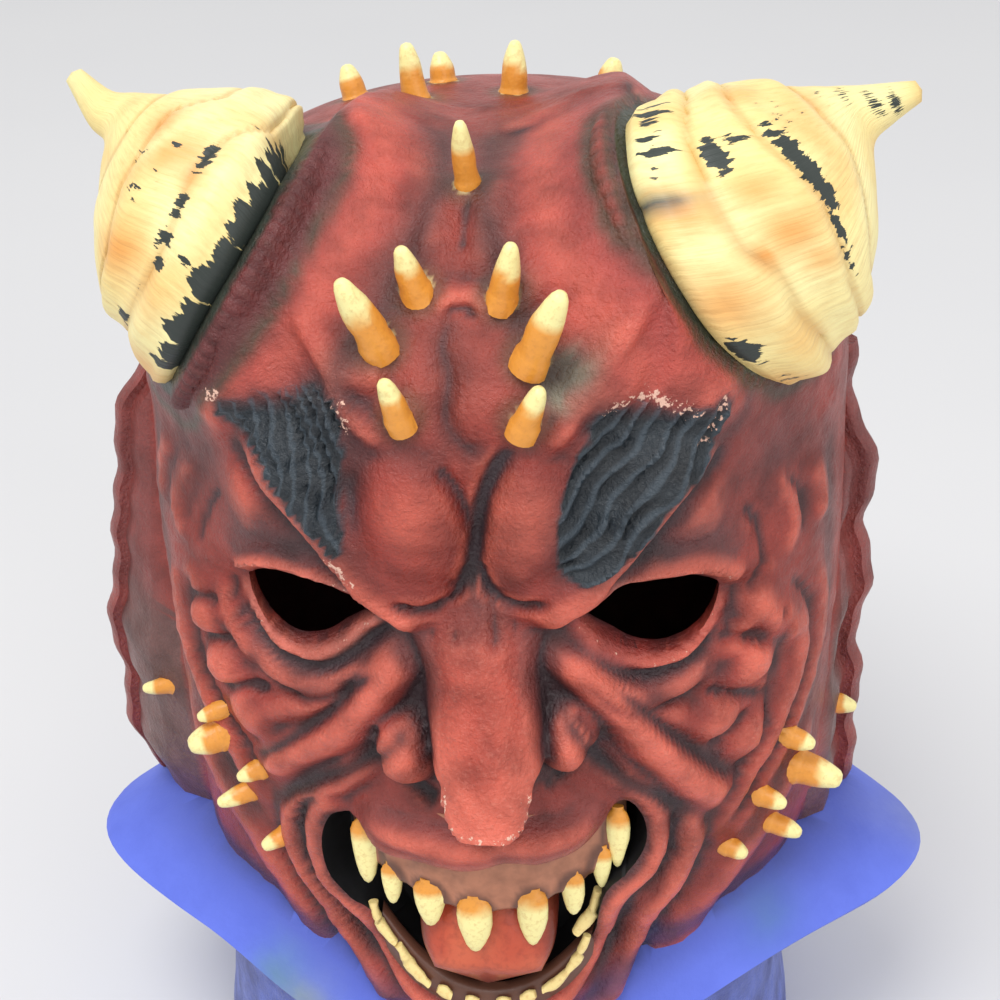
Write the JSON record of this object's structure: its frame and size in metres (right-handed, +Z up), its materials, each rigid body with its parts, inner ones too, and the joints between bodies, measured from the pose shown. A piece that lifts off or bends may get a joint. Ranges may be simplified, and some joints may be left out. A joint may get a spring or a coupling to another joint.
{
  "type": "latex devil mask",
  "caption": "Full-head devil mask of cast latex with fat ribbed horns, spikes, grinning fanged mouth, flap ears and a flared neck collar, hollow and open at the neck.",
  "frame": {"origin": "on the plane of the neck rim, under the middle of the overall box", "axes": "+Z up to the crown, the face looks along -Y, the mask's own left side is on +X"},
  "size_m": [0.2578, 0.2284, 0.3323],
  "materials": {
    "painted_latex": "red painted latex, satin, with airbrushed dark folds, cream horns and a matte blue collar"
  },
  "bodies": {
    "root": {"latex_mask": "painted_latex"}
  },
  "joints": []
}
